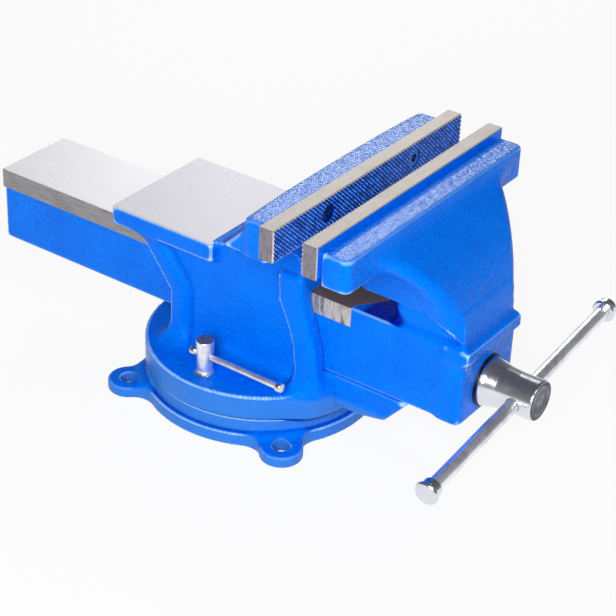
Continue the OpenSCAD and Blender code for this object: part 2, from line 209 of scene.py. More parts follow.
def outline(u, v, points):
    """Area inside a closed outline in the plane of two axes."""
    nearest = np.inf
    inside = False
    for (u0, v0), (u1, v1) in zip(points, points[1:] + points[:1]):
        du, dv = u1 - u0, v1 - v0
        along = np.clip(((u - u0) * du + (v - v0) * dv) / (du * du + dv * dv), 0, 1)
        nearest = np.minimum(nearest, np.hypot(u - u0 - along * du, v - v0 - along * dv))
        if dv:
            spans = (v >= min(v0, v1)) & (v < max(v0, v1))
            inside = inside ^ (spans & (u < u0 + (v - v0) * du / dv))
    return np.where(inside, -nearest, nearest)


def jaw_front(side, z, foot_half, flank, z_foot):
    """Front view of a jaw head, which narrows through a hollow flank on each side to a straight foot."""
    hollow = rod(side, z, (foot_half + flank, z_foot), flank)
    below = np.maximum(foot_half - side, z - z_foot)
    return cut(side - block_half, np.minimum(hollow, below), 0.5)


# Base casting


def bolt_lugs(x, y, z):
    """Four lugs on the diagonals, and the bolt holes through them."""
    far, near = np.maximum(np.abs(x), np.abs(y)), np.minimum(np.abs(x), np.abs(y))
    out = (far + near) / math.sqrt(2)
    aside = (far - near) / math.sqrt(2)
    foot = np.hypot(np.maximum(out - bolt_reach, 0), aside) - lug_radius
    foot = np.maximum(foot, disc_radius - lug_radius - out)
    return meet(foot, slab(z, 0, lug_height), 2), rod(out, aside, (bolt_reach, 0), bolt_radius)


def lock_groove(radius, z):
    """Ring groove in which the nuts of the swivel locks ride, with a narrower slot above."""
    groove = slab(radius, lock_reach - groove_half, lock_reach + groove_half)
    slot = slab(radius, lock_reach - slot_half, lock_reach + slot_half)
    return np.minimum(
        np.maximum(groove, slab(z, groove_floor, groove_roof)),
        np.maximum(slot, slab(z, groove_floor, 2 * base_top)))


def base_solid(x, y, z):
    """Round base with four bolt lugs, a spigot bore and the ring groove of the swivel locks."""
    radius = np.hypot(x, y)
    flange = meet(radius - flange_radius, slab(z, 0, flange_height), 0.5)
    ring = meet(np.maximum(radius - ring_radius, spigot_bore - radius), slab(z, 0, base_top), 0.4)
    ring = join(ring, flange, 1.2)
    lugs, bolt_holes = bolt_lugs(x, y, z)
    solid = np.maximum(join(ring, lugs, 9), -z)
    solid = cut(solid, bolt_holes, 0.4)
    solid = cut(solid, lock_groove(radius, z))
    solid = cut(solid, np.maximum(radius - spigot_bore, slab(z, -base_top, 2 * base_top)), 0.6)
    underside = slab(radius, spigot_radius + 7, lock_reach - groove_half - 5)
    return cut(solid, np.maximum(underside, slab(z, -underside_depth, underside_depth)), 1.5)


# Body casting


def rear_space(y, z):
    """Side view of the space behind the column, whose rear leans out to the anvil."""
    return outline(y, z, [(75, 114), (44, 73), (44, 0), (140, 0), (140, 114)])


def column_side(y, z):
    """Side view of the column."""
    whole = outline(y, z, [
        (-69, disc_top - 1), (-69, 62), (-65, 80), (-59, 95), (-57, 118), (84, 107), (84, disc_top - 1)])
    return np.maximum(whole, -rear_space(y, z))


def neck_side(y, z):
    """Side view of the fixed jaw's neck, with its rear sloping down to the anvil."""
    root = anvil_bottom - 20
    return outline(y, z, [
        (fixed_seat, block_top), (fixed_seat, plate_bottom), (-58, 118), (-58, root), (anvil_front, root),
        (anvil_front, anvil_top), (3, 120.5), (-5, 125.5), (-20, 140), (-52, 172), (-52, block_top)])


def tongue_side(y, z):
    """Side view of the tongue that carries the beam in front of the column."""
    return outline(y, z, [
        (-62, 28.6), (-96, 28.1), (tongue_front + 15, 31.6), (tongue_front, tunnel_floor - 3),
        (tongue_front, tunnel_floor), (-62, tunnel_floor)])


def front_leg(side, radius, y, z):
    """Leg at each front corner of the column, standing on the swivel disc's edge."""
    behind = outline(y, z, [
        (-100, disc_bottom), (-100, 118), (-41, 118), (-42, 98), (-47, 88), (-51, 78), (-54, 68), (-55.5, 52),
        (-56, disc_bottom)])
    face = outline(y, z, [
        (-77, disc_bottom), (-74, 37), (-70.5, 58), (-69, 70), (-65, 82), (-61, 93), (-57, 118),
        (0, 118), (0, disc_bottom)])
    leg = meet(meet(behind, side - rib_half, 0.4), face, 4)
    return meet(leg, radius - disc_radius - np.clip(z - disc_bottom, 0, 40) * 0.3, 2)


def fixed_block(x, y, z):
    """Block behind the fixed plate, with a bulged rear."""
    bulge_radius = (block_half ** 2 + rear_bulge ** 2) / (2 * rear_bulge)
    rear = rod(x, y, (0, fixed_seat + fixed_thickness + rear_bulge - bulge_radius), bulge_radius)
    plan = meet(np.maximum(rear, fixed_seat - y), np.abs(x) - block_half, 1)
    return meet(plan, slab(z, block_bottom + 1, block_top), 1)


def body_solid(x, y, z):
    """Swivel disc, ribbed column, tongue, anvil and fixed jaw in one casting."""
    side = np.abs(x)
    radius = np.hypot(x, y)
    disc = meet(meet(radius - disc_radius, z - disc_top, 0.6), disc_bottom - z, 2.4)
    column = meet(column_side(y, z), side - column_half, 4)
    rear_rib = meet(meet(column_side(y, z), side - rib_half, 0.4), rear_space(y, z) - rib_width, 5)
    neck = meet(neck_side(y, z), jaw_front(side, z, column_half, neck_flank, neck_foot), 2)
    anvil_low = (-anvil_half, anvil_front, anvil_bottom)
    anvil = block(x, y, z, anvil_low, (anvil_half, anvil_rear, anvil_top - 0.3), 1.2)
    solid = join(column, neck)
    solid = join(solid, rear_rib, 3)
    solid = join(solid, front_leg(side, radius, y, z), 3)
    solid = join(solid, disc, 14)
    solid = join(solid, anvil, 4)
    solid = join(solid, fixed_block(x, y, z), 6)
    solid = join(solid, meet(tongue_side(y, z), side - tongue_half, 3), 5)
    solid = cut(solid, np.maximum(y - fixed_seat, seat_bottom - z))
    tunnel_low = (-tunnel_half, 2 * tongue_front, tunnel_floor)
    solid = cut(solid, block(x, y, z, tunnel_low, (tunnel_half, anvil_rear - 1, tunnel_top)), 2)
    solid = cut(solid, np.maximum(rod(side, y, (lock_reach, 0), lock_bore), z - disc_top - 1))
    solid = join(solid, np.maximum(radius - spigot_radius, slab(z, spigot_bottom, disc_top)))
    return cut(solid, np.maximum(radius - nut_bolt_bore, z - disc_bottom))


# Moving jaw casting


def hood_side(y, z):
    """Side view of the moving jaw's hood: one arc from under the jaw block to the lip."""
    front = lip_face - 20
    back = outline(y, z, [
        (moving_seat, hood_top), (moving_seat, plate_bottom), (stem_back, 146), (hood_back, 132),
        (hood_back, lip_bottom), (front, lip_bottom), (front, hood_top)])
    return np.maximum(back, rod(y, z, hood_middle, hood_radius))


def under_skirt(y, z):
    """Side view of the space under the hood's skirt, which bends down to the lip."""
    bend = rod(y, z, (skirt_bend, skirt_top - skirt_radius), skirt_radius)
    straight = np.maximum(slab(y, skirt_bend, stem_back + 30), slab(z, 40, skirt_top))
    return np.minimum(bend, straight)


def hood(side, y, z):
    """Hood with its skirt, and the stem that carries it on the beam."""
    cap = meet(hood_side(y, z), jaw_front(side, z, beam_half + 2, hood_flank, flank_foot), 10)
    cap = cut(cap, under_skirt(y, z), 0.3)
    stem = meet(side - painted_half + 2, y - pocket_back, 9)
    stem = np.maximum(np.maximum(stem, hood_side(y, z)), z - skirt_top - 2)
    return join(cap, stem, 2)


def moving_block(side, y, z):
    """Block in front of the moving plate."""
    plan = meet(moving_seat - moving_thickness - y, side - moving_half, 5)
    plan = meet(plan, y - moving_seat, 2)
    return meet(meet(plan, z - block_top, 2), moving_bottom - z, 0.8)


def hollow_beam(x, y, z):
    """Beam that is open below, with the deeper front wall that holds the screw."""
    beam = block(x, y, z, (-painted_half, front_face, beam_bottom),
                 (painted_half, beam_rear - 0.8, beam_top - 0.2), 1.6)
    wall = block(x, y, z, (-painted_half, front_face, front_bottom),
                 (painted_half, wall_back, beam_top - 4), 5)
    hollow = block(x, y, z, (-hollow_half, wall_back, 0), (hollow_half, 2 * beam_rear, hollow_top))
    return cut(join(beam, wall, 3), hollow, 1)


def slide_solid(x, y, z):
    """Hood, jaw block and slide beam of the moving jaw in one casting."""
    side = np.abs(x)
    lip = block(x, y, z, (-beam_half, lip_face, lip_bottom), (beam_half, lip_face + 16, lip_top), 0.5)
    solid = join(hood(side, y, z), moving_block(side, y, z), 6)
    solid = join(solid, lip, 4)
    solid = join(solid, hollow_beam(x, y, z), 4)
    return cut(solid, rod(x, z, (0, screw_height), screw_radius + 0.1))


# Surface of a solid


def skin(solid, low, high, step):
    """Vertices and quads of a solid's surface: one vertex in each cell of a grid that the surface crosses."""
    lines = [np.arange(a - 2 * step, b + 3 * step, step, dtype=np.float32) for a, b in zip(low, high)]
    grid = np.ix_(*lines)
    field = np.broadcast_to(solid(*grid), [len(line) for line in lines])
    inside = (field < 0).astype(np.int8)
    cells = np.array(field.shape) - 1
    places, rings = [], []
    for axis in range(3):
        change = np.diff(inside, axis=axis)
        first = np.argwhere(change)
        second = first + np.eye(3, dtype=int)[axis]
        start, end = field[tuple(first.T)], field[tuple(second.T)]
        place = first.astype(float)
        place[:, axis] += start / (start - end)
        turns = np.zeros((4, 3), int)
        turns[[1, 2], (axis + 1) % 3] = -1
        turns[[2, 3], (axis + 2) % 3] = -1
        around = first[:, None, :] + turns
        ring = np.ravel_multi_index(tuple(np.moveaxis(around, 2, 0)), cells)
        inward = change[tuple(first.T)] > 0
        ring[inward] = ring[inward][:, ::-1]
        places.append(place)
        rings.append(ring)
    place, ring = np.concatenate(places), np.concatenate(rings)
    quads = np.unique(ring, return_inverse=True)[1].reshape(ring.shape)
    count = np.bincount(quads.ravel())
    points = np.stack([
        np.bincount(quads.ravel(), np.repeat(place[:, axis], 4)) / count * step + lines[axis][0]
        for axis in range(3)], 1)
    return settle(solid, points, step), quads


def settle(solid, points, step):
    """Moves points near a solid's surface onto it."""
    reach = 0.02 * step
    for _ in range(3):
        value = solid(*points.T)
        slope = np.stack([
            (solid(*(points + reach * shift).T) - value) / reach for shift in np.eye(3)], 1)
        length = np.maximum((slope ** 2).sum(1), 0.25)
        points = points - np.clip(value / length, -step, step)[:, None] * slope
    return points


# Meshes


def piece(name, vertices, faces, body, slot, materials, replaces=()):
    """Smooth mesh object from millimetres, riding on a body."""
    mesh = bpy.data.meshes.new(name)
    mesh.from_pydata(np.asarray(vertices, float) * MM, [], [tuple(face) for face in faces])
    mesh.update()
    mesh.shade_smooth()
    obj = bpy.data.objects.new(name, mesh)
    bpy.context.scene.collection.objects.link(obj)
    for material in materials:
        mesh.materials.append(material)
    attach(obj, body)
    if replaces:
        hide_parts(*replaces)
    return obj


def crisp(obj, angle=35):
    """Keeps flat faces flat beside rounded edges."""
    obj.data.set_sharp_from_angle(angle=math.radians(angle))
    weighted = obj.modifiers.new("flat_faces", "WEIGHTED_NORMAL")
    weighted.keep_sharp = True
    return obj


def soften(obj, width, segments=3):
    """Small rounded edge on a sharp mesh."""
    bevel = obj.modifiers.new("soft_edge", "BEVEL")
    bevel.width = width * MM
    bevel.segments = segments
    bevel.limit_method = "ANGLE"
    bevel.angle_limit = math.radians(40)
    return crisp(obj)


def rounded(points, radius, steps=4):
    """Outline whose inner corners are replaced by arcs."""
    result = [points[0]]
    for before, corner, after in zip(points, points[1:], points[2:]):
        a, c, b = (np.array(p, float) for p in (before, corner, after))
        to_a, to_b = a - c, b - c
        reach = min(radius, 0.45 * np.linalg.norm(to_a), 0.45 * np.linalg.norm(to_b))
        to_a, to_b = to_a / np.linalg.norm(to_a), to_b / np.linalg.norm(to_b)
        for t in np.linspace(0, 1, steps + 1):
            bend = c + (1 - t) ** 2 * reach * to_a + t ** 2 * reach * to_b
            result.append(tuple(bend))
    return result + [points[-1]]


def ringed(radius, height, start, end):
    """Closed surface about Z through rings of radii, ending on the axis at two heights."""
    rings, steps = radius.shape
    angles = np.arange(steps) * 2 * math.pi / steps
    rise = np.repeat(height[:, None], steps, 1)
    points = np.stack([radius * np.cos(angles), radius * np.sin(angles), rise], 2)
    vertices = np.concatenate([[(0, 0, start)], points.reshape(-1, 3), [(0, 0, end)]])
    last = len(vertices) - 1
    faces = []
    for i in range(steps):
        j = (i + 1) % steps
        faces.append((0, 1 + j, 1 + i))
        faces.append((last - steps + i, last - steps + j, last))
        for low in range(1, 1 + (rings - 1) * steps, steps):
            faces.append((low + i, low + j, low + steps + j, low + steps + i))
    return vertices, faces


def lathe(profile, steps=64):
    """Closed surface turned about Z from (radius, height) points that start and end on the axis."""
    inner = np.array(profile[1:-1], float)
    return ringed(np.repeat(inner[:, :1], steps, 1), inner[:, 1], profile[0][1], profile[-1][1])


def tube(profile, steps=64):
    """Closed ring turned about Z from (radius, height) points that form a loop."""
    angles = np.linspace(0, 2 * math.pi, steps, endpoint=False)
    vertices = [(r * math.cos(t), r * math.sin(t), h) for r, h in profile for t in angles]
    faces = []
    count = len(profile)
    for k in range(count):
        low, high = k * steps, (k + 1) % count * steps
        for i in range(steps):
            j = (i + 1) % steps
            faces.append((low + i, low + j, high + j, high + i))
    return np.array(vertices, float), faces


def prism(points, *stations):
    """Closed solid from an (x, z) outline, drawn along y through the stations."""
    count = len(points)
    vertices = [(x, y, z) for y in stations for x, z in points]
    last = len(vertices) - 1
    faces = [tuple(range(count)), tuple(range(last, last - count, -1))]
    for low in range(0, last - count, count):
        for i in range(count):
            j = (i + 1) % count
            faces.append((low + j, low + i, low + count + i, low + count + j))
    return vertices, faces


def flat_prism(points, low, high):
    """Closed solid from an (x, y) outline, drawn between two heights."""
    vertices, faces = prism(points, low, high)
    return [(x, y, z) for x, z, y in vertices], [face[::-1] for face in faces]


def placed(shape, matrix):
    """Vertices and faces of a shape that a matrix moves."""
    vertices, faces = shape
    turn = np.array(matrix.to_3x3())
    return np.asarray(vertices) @ turn.T + np.array(matrix.translation), faces


def along_screw():
    """Turns Z into the screw's axis, with height as y."""
    return Matrix.Translation((0, 0, screw_height)) @ Matrix.Rotation(-math.pi / 2, 4, "X")


def along_handle():
    """Turns Z into the handle's axis."""
    place = Matrix.Translation((0, handle_y, screw_height))
    return place @ Matrix.Rotation(-handle_tilt, 4, "Y") @ Matrix.Rotation(math.pi / 2, 4, "Y")


def along_lock_bar(side, height):
    """Turns Z into +Y through a lock screw's head."""
    return Matrix.Translation((side * lock_reach, 0, height)) @ Matrix.Rotation(-math.pi / 2, 4, "X")


def carve(obj, vertices, faces):
    """Cuts a closed shape out of an object's mesh for good."""
    mesh = bpy.data.meshes.new("cutter")
    mesh.from_pydata(np.asarray(vertices, float) * MM, [], [tuple(face) for face in faces])
    cutter = bpy.data.objects.new("cutter", mesh)
    bpy.context.scene.collection.objects.link(cutter)
    boolean = obj.modifiers.new("cut", "BOOLEAN")
    boolean.operation = "DIFFERENCE"
    boolean.solver = "EXACT"
    boolean.object = cutter
    bpy.context.view_layer.update()
    depsgraph = bpy.context.evaluated_depsgraph_get()
    carved = bpy.data.meshes.new_from_object(obj.evaluated_get(depsgraph))
    obj.modifiers.clear()
    obj.data = carved
    bpy.data.objects.remove(cutter)


def drill(obj, matrix, radius, reach, steps):
    """Cuts a round hole along a placed axis, as far as the reach on both sides."""
    hole = lathe([(0, -reach), (radius, -reach), (radius, reach), (0, reach)], steps)
    carve(obj, *placed(hole, matrix))


# Shader nodes


def new_material(name):
    """Empty node material with its surface shader."""
    material = bpy.data.materials.new(name)
    material.use_nodes = True
    tree = material.node_tree
    return material, tree, tree.nodes["Principled BSDF"]


def connect(tree, value, socket):
    """Links a socket to another one, or sets its value."""
    if isinstance(value, bpy.types.NodeSocket):
        tree.links.new(value, socket)
    else:
        socket.default_value = value


def add(tree, kind, settings=(), **sockets):
    """New node with settings, and socket values or links by name or as in0, in1 and so on."""
    node = tree.nodes.new(kind)
    for key, value in dict(settings).items():
        setattr(node, key, value)
    for key, value in sockets.items():
        index = int(key[2:]) if key.startswith("in") else key.replace("_", " ")
        connect(tree, value, node.inputs[index])
    return node


def grain(tree, scale, stretch=(1, 1, 1), detail=4.0, rough=0.6):
    """Noise in the piece's own coordinates, in metres."""
    place = add(tree, "ShaderNodeTexCoord").outputs["Object"]
    mapped = add(tree, "ShaderNodeMapping", Vector=place, Scale=stretch).outputs[0]
    noise = add(tree, "ShaderNodeTexNoise", Vector=mapped, Scale=scale, Detail=detail, Roughness=rough)
    return noise.outputs["Fac"]


def height_of(tree, vector):
    """The Z part of a vector."""
    return add(tree, "ShaderNodeSeparateXYZ", Vector=vector).outputs["Z"]


def distance(tree, middle, scale):
    """Length of the way from a middle in millimetres, with each axis scaled."""
    place = add(tree, "ShaderNodeTexCoord").outputs["Object"]
    centre = Vector(middle) * MM
    offset = add(tree, "ShaderNodeVectorMath", {"operation": "SUBTRACT"}, in0=place, in1=centre).outputs[0]
    scaled = add(tree, "ShaderNodeVectorMath", {"operation": "MULTIPLY"}, in0=offset, in1=scale).outputs[0]
    return add(tree, "ShaderNodeVectorMath", {"operation": "LENGTH"}, in0=scaled).outputs["Value"]


def calculate(tree, operation, a, b):
    """Result of a maths node on two values."""
    return add(tree, "ShaderNodeMath", {"operation": operation}, in0=a, in1=b).outputs[0]


def share(tree, value, start, end):
    """How far a value has come from start to end, from 0 to 1."""
    return add(tree, "ShaderNodeMapRange", Value=value, From_Min=start, From_Max=end).outputs[0]


def spread(tree, value, low, high):
    """Maps 0 to 1 onto another range."""
    return add(tree, "ShaderNodeMapRange", Value=value, To_Min=low, To_Max=high).outputs[0]


def ramp(tree, value, *stops):
    """Colour ramp from (position, colour) stops."""
    node = add(tree, "ShaderNodeValToRGB", Fac=value)
    band = node.color_ramp
    while len(band.elements) < len(stops):
        band.elements.new(0.5)
    for element, (position, colour) in zip(band.elements, stops):
        element.position = position
        element.color = (*colour, 1)
    return node.outputs["Color"]


def blend(tree, kind, factor, a, b):
    """Mixes two colours."""
    node = add(tree, "ShaderNodeMix", {"data_type": "RGBA", "blend_type": kind}, in0=factor, in6=a, in7=b)
    return node.outputs[2]


def bump(tree, height, depth, strength=1.0, normal=None):
    """Relief of that depth in millimetres."""
    node = add(tree, "ShaderNodeBump", Height=height, Distance=depth * MM, Strength=strength)
    if normal is not None:
        tree.links.new(normal, node.inputs["Normal"])
    return node.outputs["Normal"]


def dress(tree, shader, colour, roughness, normal, metallic=0.0):
    """Sets a shader's main sockets."""
    connect(tree, colour, shader.inputs["Base Color"])
    connect(tree, roughness, shader.inputs["Roughness"])
    connect(tree, normal, shader.inputs["Normal"])
    connect(tree, metallic, shader.inputs["Metallic"])


# Paint


def paint_coat(name, deep, light, gloss, shine, tint):
    """Blue paint with an orange-peel skin."""
    material, tree, shader = new_material(name)
    sand = grain(tree, 620, detail=3, rough=0.6)
    peel = grain(tree, 240, detail=3, rough=0.55)
    cloud = grain(tree, 30, detail=4)
    tone = ramp(tree, cloud, (0.3, deep), (0.7, light))
    speck = ramp(tree, sand, (0.35, (0.6, 0.7, 0.82)), (0.6, (1, 1, 1)))
    tone = blend(tree, "MULTIPLY", 0.7, tone, speck)
    relief = bump(tree, peel, 1.4, 0.7)
    dress(tree, shader, tone, spread(tree, sand, *gloss), bump(tree, sand, 0.6, 0.7, relief))
    shader.inputs["Specular IOR Level"].default_value = shine
    shader.inputs["Specular Tint"].default_value = (*tint, 1)
    return material


def painted_floor_reflection(tree, tone):
    """Painted reflection of the pale floor: greyer blue on the upright walls near the bench."""
    place = add(tree, "ShaderNodeTexCoord")
    low = share(tree, height_of(tree, place.outputs["Object"]), disc_top * MM, (disc_top - 3) * MM)
    wall = share(tree, height_of(tree, place.outputs["Normal"]), 0.7, 0.3)
    return blend(tree, "MIX", calculate(tree, "MULTIPLY", low, wall), tone, (0.035, 0.2, 0.68, 1))


def painted_gap_shade(tree, tone):
    """Painted shade: a dark line where the swivel disc stands on the base."""
    place = add(tree, "ShaderNodeTexCoord").outputs["Object"]
    level = share(tree, height_of(tree, place), base_top * MM, (base_top + 5) * MM)
    clear, deep, soft = (1, 1, 1), (0, 0.25, 0.45), (0, 0.3, 0.5)
    # deep and soft darken the band just above the base: painted shade
    line = ramp(tree, level, (0.02, clear), (0.06, deep), (0.4, soft), (0.5, clear))
    return blend(tree, "MULTIPLY", 1.0, tone, line)


def painted_pocket_shade(tree, tone):
    """Painted shade: dark blue in the hollow between the beam and the hood."""
    place = add(tree, "ShaderNodeTexCoord").outputs["Object"]
    away = distance(tree, (0, pocket_back + 6, beam_top + 3), (0, 1 / (17 * MM), 1 / (8 * MM)))
    inner = share(tree, away, 1.05, 0.8)
    above = share(tree, height_of(tree, place), (beam_top - 1) * MM, (beam_top - 0.4) * MM)
    return blend(tree, "MIX", calculate(tree, "MULTIPLY", inner, above), tone, (0, 0.012, 0.32, 1))


def edge_wear_and_painted_light(tree, tone):
    """Painted shade: deep blue in hollow corners; and pale paint on sharp edges, partly edge wear and partly
    painted highlight.
    """
    edge = add(tree, "ShaderNodeNewGeometry").outputs["Pointiness"]
    # hollow darkens concave corners: painted shade
    hollow = ramp(tree, edge, (0.45, (0.2, 0.3, 0.6)), (0.495, (1, 1, 1)))
    worn_and_highlit_edge = ramp(tree, edge, (0.53, (0, 0, 0)), (0.565, (0.8, 0.8, 0.8)))
    return blend(tree, "MIX", worn_and_highlit_edge, blend(tree, "MULTIPLY", 1.0, tone, hollow), (0.45, 0.75, 1, 1))


def cast_paint():
    """Paint over the sand-cast iron, with painted shade, a painted floor reflection and pale edges that are
    partly painted highlight.
    """
    material = paint_coat("blue_cast_paint", *blue_tones, (0.12, 0.36), 0.16, blue_shine)
    tree = material.node_tree
    base_colour = tree.nodes["Principled BSDF"].inputs["Base Color"]
    tone = base_colour.links[0].from_socket
    for effect in (painted_floor_reflection, painted_gap_shade, painted_pocket_shade, edge_wear_and_painted_light):
        tone = effect(tree, tone)
    tree.links.new(tone, base_colour)
    return material


# Metals


def ground_steel(name, tint, stretch, stain=0.0, rough=(0.55, 0.68), contrast=0.85, oil=None):
    """Machined metal with stretched marks and stains, and brown oil that ends between two y values."""
    material, tree, shader = new_material(name)
    lines = grain(tree, 60, stretch, detail=6, rough=0.7)
    cloud = grain(tree, 45, detail=4)
    pale = tuple(min(1.0, c * 1.08) for c in tint)
    dark = tuple(c * contrast for c in tint)
    colour = ramp(tree, lines, (0.38, dark), (0.5, tint), (0.65, pale))
    spots = ramp(tree, cloud, (0.52, (1, 1, 1)), (0.68, (0.5, 0.38, 0.26)))
    colour = blend(tree, "MULTIPLY", stain, colour, spots)
    metallic = 0.85
    if oil:
        place = add(tree, "ShaderNodeTexCoord").outputs["Object"]
        along = add(tree, "ShaderNodeSeparateXYZ", Vector=place).outputs["Y"]
        clean = share(tree, along, oil[0] * MM, oil[1] * MM)
        colour = blend(tree, "MIX", clean, (0.17, 0.12, 0.085, 1), colour)
        metallic = spread(tree, clean, 0.1, metallic)
    dress(tree, shader, colour, spread(tree, lines, *rough), bump(tree, lines, 0.04, 0.5), metallic)
    return material


def polished_plating():
    """Bright plating with faint marks."""
    material, tree, shader = new_material("polished_plating")
    marks = grain(tree, 300, detail=3)
    cloud = grain(tree, 40, detail=2)
    colour = ramp(tree, cloud, (0.3, (0.70, 0.72, 0.76)), (0.7, (0.80, 0.82, 0.86)))
    dress(tree, shader, colour, spread(tree, marks, 0.12, 0.26), bump(tree, marks, 0.01, 0.3), 1.0)
    return material


def turned_end():
    """Rings that a lathe leaves on the screw's end, about its axis."""
    material, tree, shader = new_material("turned_end_steel")
    radius = distance(tree, (0, 0, screw_height), (1, 0, 1))
    noise = add(tree, "ShaderNodeTexNoise", {"noise_dimensions": "1D"}, W=radius, Scale=500, Detail=2)
    rings = noise.outputs["Fac"]
    cloud = grain(tree, 130, detail=3)
    tone = ramp(tree, rings, (0.35, (0.1, 0.1, 0.13)), (0.65, (0.36, 0.36, 0.42)))
    patches = ramp(tree, cloud, (0.4, (0.45, 0.45, 0.5)), (0.62, (1, 1, 1)))
    colour = blend(tree, "MULTIPLY", 1.0, tone, patches)
    dress(tree, shader, colour, spread(tree, rings, 0.35, 0.6), bump(tree, rings, 0.05, 0.5), 0.85)
    return material


def knurled_steel():
    """Pale points, partly wear and partly painted glints, over blue hollows, by the way from the middle
    between the jaws.
    """
    material, tree, shader = new_material("knurled_steel")
    cloud = grain(tree, 350, detail=3)
    middle = (fixed_plate_low[1] + moving_plate_high[1]) / 2
    points = fixed_plate_low[1] - middle
    away = distance(tree, (0, middle, 0), (0, 1, 0))
    hollow = share(tree, away, points * MM, (points + knurl_depth) * MM)
    # near-white at the points: partly wear, partly painted glints
    tone = ramp(tree, hollow, (0.1, (0.8, 0.92, 1)), (0.32, (0, 0.18, 0.85)), (0.9, (0, 0.04, 0.34)))
    patchy_wear_and_glints = ramp(tree, cloud, (0.42, (0.3, 0.4, 0.5)), (0.55, (1, 1, 1)))
    tree.links.new(blend(tree, "MULTIPLY", 1.0, tone, patchy_wear_and_glints), shader.inputs["Base Color"])
    tree.links.new(spread(tree, cloud, 0.2, 0.45), shader.inputs["Roughness"])
    shader.inputs["Specular Tint"].default_value = (0.3, 0.6, 1, 1)
    return material


def dark_steel(name, low, high):
    """Blackened or raw steel."""
    material, tree, shader = new_material(name)
    cloud = grain(tree, 120, detail=5)
    colour = ramp(tree, cloud, (0.35, low), (0.7, high))
    dress(tree, shader, colour, spread(tree, cloud, 0.3, 0.55), bump(tree, cloud, 0.05, 0.4), 1.0)
    return material


# Finishes
blue_tones = (0, 0.16, 0.83), (0, 0.20, 0.93)
blue_shine = (0.1, 0.6, 1)
# Paler blue of the jaw blocks' sandy tops: painted sheen
sandy_sheen_tones = (0.05, 0.24, 0.8), (0.1, 0.3, 0.9)
paint = cast_paint()
plate_paint = paint_coat("plate_blue_paint", *blue_tones, (0.2, 0.4), 0.16, blue_shine)
sandy_paint_painted_sheen = paint_coat("sandy_blue_paint_painted_sheen", *sandy_sheen_tones, (0.1, 0.35), 0.6, (1, 1, 1))
anvil_steel = ground_steel("anvil_ground_steel", (0.76, 0.75, 0.79), (1.5, 14, 14), contrast=0.92)
beam_steel = ground_steel(
    "beam_ground_steel", (0.97, 0.96, 0.99), (14, 1.2, 14), contrast=0.94, oil=(-55, -30))
band_steel = ground_steel("band_milled_steel", (0.66, 0.62, 0.58), (4, 7, 0.8), stain=0.8, contrast=0.22)
rear_band_steel = ground_steel("rear_band_steel", (0.37, 0.36, 0.37), (14, 1.2, 14), stain=0.4, contrast=0.7)
plate_steel = ground_steel("plate_ground_steel", (0.62, 0.58, 0.54), (1.5, 16, 16), stain=0.15)
oiled_steel = ground_steel("oiled_steel", (0.24, 0.19, 0.15), (8, 3, 8), oil=(0, 30))
sawn_steel = ground_steel("sawn_steel", (0.30, 0.28, 0.32), (14, 14, 3), stain=0.3, contrast=0.6)
knurl_steel = knurled_steel()
chrome = polished_plating()
end_steel = turned_end()
satin_plating = ground_steel("satin_plating", (0.88, 0.89, 0.94), (1, 1, 1), rough=(0.24, 0.4), contrast=0.75)
# Blackened steel; on the thrust washer its black is painted shade
black_steel_and_painted_shade = dark_steel("blackened_steel", (0.03, 0.03, 0.035), (0.09, 0.09, 0.1))
# Plate screws: blued steel made lighter than it is, to show through the shade in their holes, so partly
# painted light
blued_steel = dark_steel("blued_steel", (0.02, 0.1, 0.4), (0.08, 0.25, 0.7))
raw_iron = dark_steel("raw_iron", (0.20, 0.19, 0.18), (0.36, 0.34, 0.32))
turned_steel = ground_steel("turned_steel", (0.26, 0.26, 0.31), (10, 10, 10), contrast=0.6)


# Castings and their machined faces


def make_castings():
    """Base, body and moving jaw as smooth castings, with sandy paint on the tops of the jaw blocks, whose
    paler blue is a painted sheen.
    """
    base = skin(base_solid, base_low - 2, base_high + 2, 1.0)
    piece("base_casting", *base, "base_body", "blue_paint", [paint], ["base"])
    paints = [paint, sandy_paint_painted_sheen]
    # Painted sheen: the paler sandy paint goes on the block tops, on the moving block only in front of the
    # strip next to its plate
    sandy_sheen_height, sandy_sheen_start = block_top - 0.5, moving_seat - 6.5
    body = skin(body_solid, body_low, body_high, 1.5)
    casting = piece("body_casting", *body, "swivel_body", "blue_paint", paints, ["body"])
    for face in casting.data.polygons:
        face.material_index = int(face.center.z > sandy_sheen_height * MM)
    slide = skin(slide_solid, slide_low - 4, slide_high + 4, 1.5)
    casting = piece("moving_jaw_casting", *slide, "slide_body", "blue_paint", paints, ["moving_jaw"])
    for face in casting.data.polygons:
        _, y, z = face.center / MM
        face.material_index = int(z > sandy_sheen_height and y < sandy_sheen_start)


def make_anvil_top():
    """Ground top of the anvil."""
    half, low = anvil_half + 0.05, anvil_top - 0.9
    corners = [(-half, low), (half, low), (half, anvil_top), (-half, anvil_top)]
    shape = prism(corners, anvil_front, anvil_rear)
    soften(piece("anvil_ground_top", *shape, "swivel_body", "raw_iron", [anvil_steel]), 0.35)


def make_beam_faces():
    """The beam's machined top with its side bands, and the oiled step under the hood."""
    inner, roof = painted_half - 0.7, beam_top - 2
    section = [
        (-beam_half, band_bottom), (-inner, band_bottom), (-inner, roof), (inner, roof), (inner, band_bottom),
        (beam_half, band_bottom), (beam_half, beam_top), (-beam_half, beam_top)]
    shape = prism(section, band_front, band_joint, beam_rear)
    steels = [beam_steel, band_steel, rear_band_steel]
    cap = piece("beam_machined_cap", *shape, "slide_body", "raw_iron", steels)
    for face in cap.data.polygons:
        side_finish = 1 if face.center.y < band_joint * MM else 2
        face.material_index = 0 if face.normal.z > 0.5 else side_finish
    soften(cap, 0.4)
    front, rear, wide, narrow = stem_back - 1, band_front + 0.5, painted_half - 3, painted_half - 22
    plan = [(-wide, rear), (-narrow, front), (narrow, front), (wide, rear)]
    shape = flat_prism(plan, roof, beam_top)
    soften(piece("beam_machined_step", *shape, "slide_body", "raw_iron", [oiled_steel]), 0.3)


# Jaw plates


